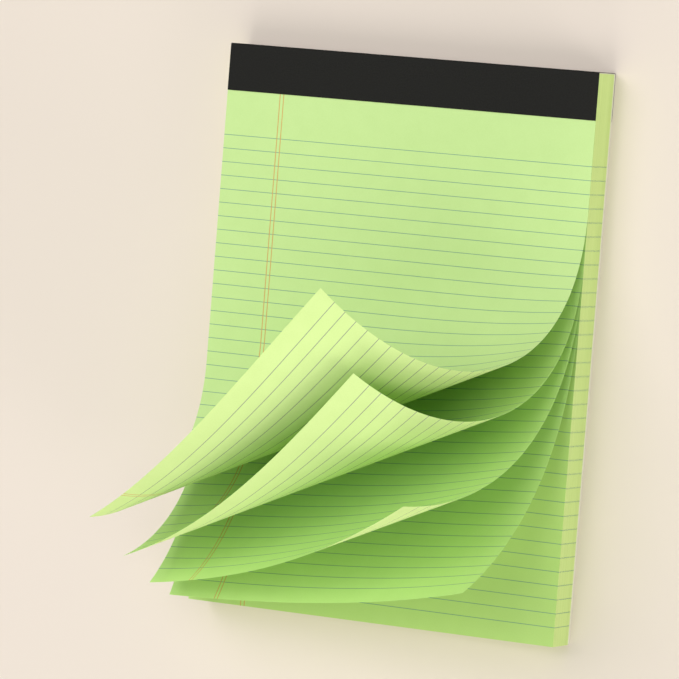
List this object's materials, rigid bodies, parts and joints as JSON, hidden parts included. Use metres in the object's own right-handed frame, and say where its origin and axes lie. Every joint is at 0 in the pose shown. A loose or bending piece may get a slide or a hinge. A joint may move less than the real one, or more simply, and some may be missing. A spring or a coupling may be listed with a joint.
{
  "type": "legal pad",
  "caption": "Ruled writing pad of tinted paper on a chipboard back, bound along its head by a dark folded strip, with its top sheets rolled back from the lower right corner.",
  "frame": {"origin": "centre of the backing board's underside, which lies on the table", "axes": "+X across the page to the right as it is read, +Y up the page to the bound head, +Z out of the written face"},
  "size_m": [0.2366, 0.2992, 0.1568],
  "materials": {
    "board": "matt",
    "paper": "matt, with printed rules",
    "glue": "matt",
    "strip": "matt cloth-paper"
  },
  "bodies": {
    "root": {"backing_board": "board", "sheet_block": "paper", "lifted_sheet_4": "paper", "lifted_sheet_3": "paper", "lifted_sheet_2": "paper", "lifted_sheet_1": "paper", "head_glue": "glue", "binding_strip": "strip"}
  },
  "joints": []
}
